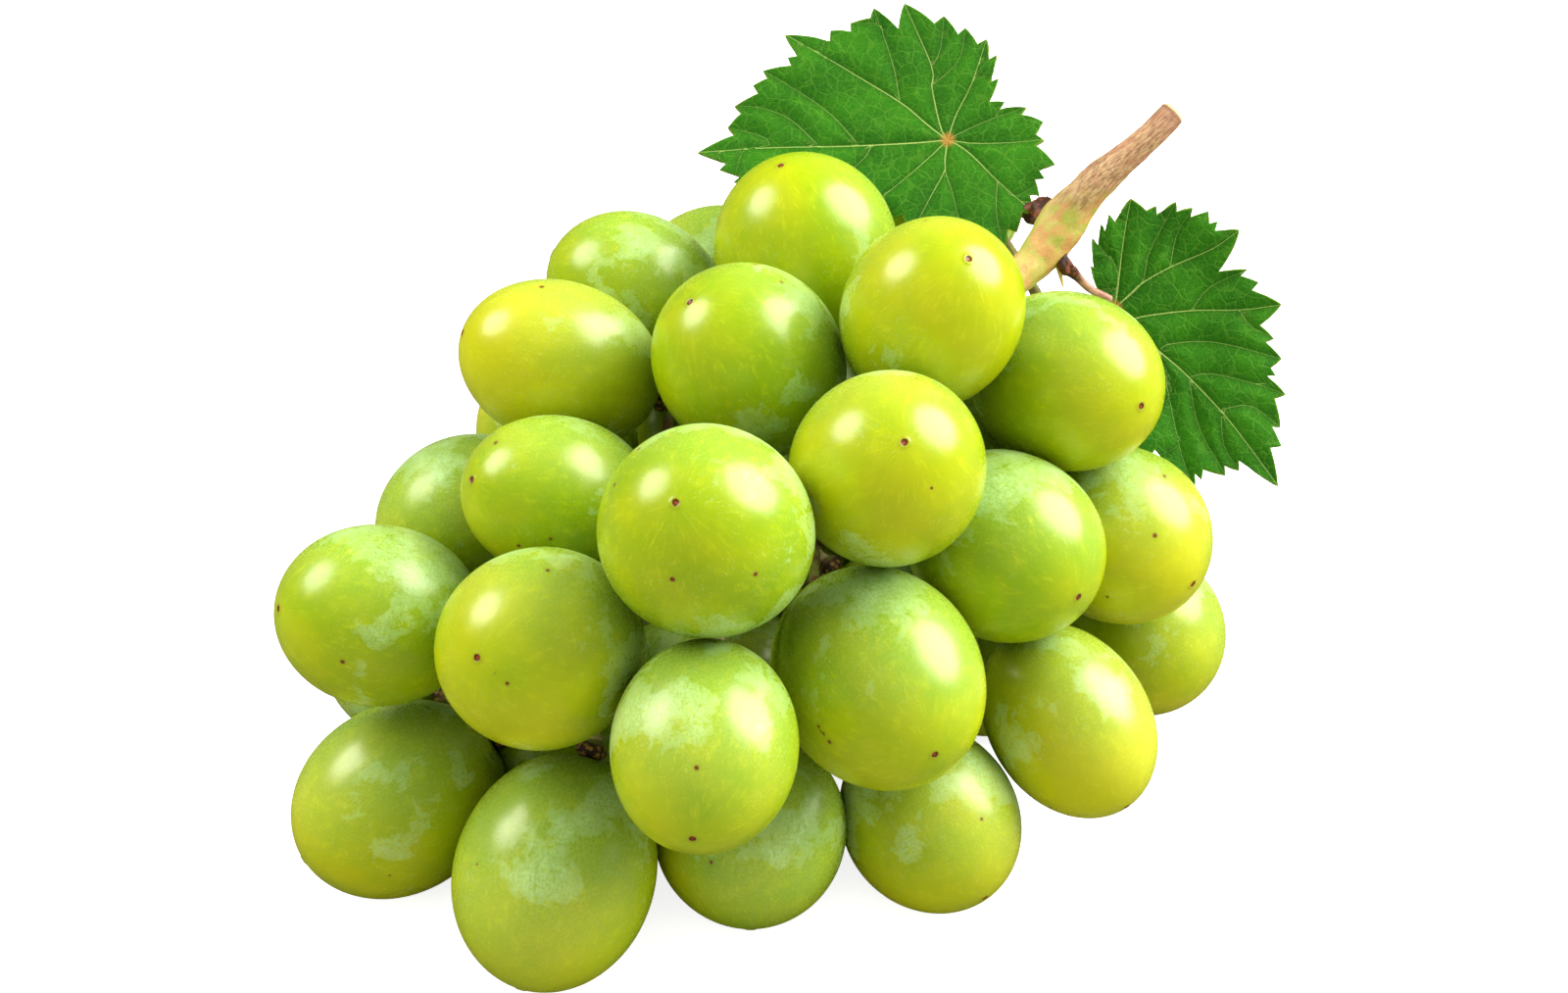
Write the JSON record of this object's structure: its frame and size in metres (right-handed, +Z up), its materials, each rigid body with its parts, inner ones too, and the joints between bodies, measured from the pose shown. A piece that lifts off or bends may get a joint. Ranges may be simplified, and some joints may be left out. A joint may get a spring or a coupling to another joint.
{
  "type": "bunch of grapes",
  "caption": "Loose bunch of large green table grapes lying on its side, with its cut woody stem, side stalks and toothed vine leaves; fresh fruit to rest on a table, plate or in a bowl.",
  "frame": {"origin": "on the surface that the bunch lies on, under the middle of its bounding box", "axes": "+X along the bunch from its tail to the cut end of its stem, +Y across it towards the side of the large leaf, +Z up"},
  "size_m": [0.1284, 0.0966, 0.0759],
  "materials": {
    "berry_skin": "glossy waxy yellow-green grape skin with a patchy pale bloom",
    "stem_bark": "tan to green grape stem, satin",
    "leaf_blade": "matte green vine leaf with pale veins",
    "leaf_stalk": "satin pinkish-brown leaf stalk"
  },
  "bodies": {
    "root": {"berry_back_1": "berry_skin", "berry_back_2": "berry_skin", "berry_back_3": "berry_skin", "berry_back_4": "berry_skin", "berry_back_5": "berry_skin", "berry_back_6": "berry_skin", "berry_crown_1": "berry_skin", "berry_crown_2": "berry_skin", "berry_crown_3": "berry_skin", "berry_crown_4": "berry_skin", "berry_crown_5": "berry_skin", "berry_crown_6": "berry_skin", "berry_crown_7": "berry_skin", "berry_front_1": "berry_skin", "berry_front_2": "berry_skin", "berry_front_3": "berry_skin", "berry_front_4": "berry_skin", "berry_front_5": "berry_skin", "berry_front_6": "berry_skin", "berry_inner_1": "berry_skin", "berry_inner_2": "berry_skin", "berry_inner_3": "berry_skin", "berry_inner_4": "berry_skin", "berry_inner_5": "berry_skin", "berry_inner_6": "berry_skin", "berry_inner_7": "berry_skin", "berry_left_1": "berry_skin", "berry_left_2": "berry_skin", "berry_left_3": "berry_skin", "berry_left_4": "berry_skin", "berry_left_5": "berry_skin", "berry_right_1": "berry_skin", "berry_right_2": "berry_skin", "berry_right_3": "berry_skin", "berry_right_4": "berry_skin", "berry_right_5": "berry_skin", "berry_under_1": "berry_skin", "berry_under_2": "berry_skin", "berry_under_3": "berry_skin", "berry_under_4": "berry_skin", "berry_under_5": "berry_skin", "berry_under_6": "berry_skin", "berry_under_7": "berry_skin", "leaf_side": "leaf_blade", "leaf_stalk_side": "leaf_stalk", "leaf_stalk_upper": "leaf_stalk", "leaf_upper": "leaf_blade", "stem": "stem_bark"}
  },
  "joints": []
}
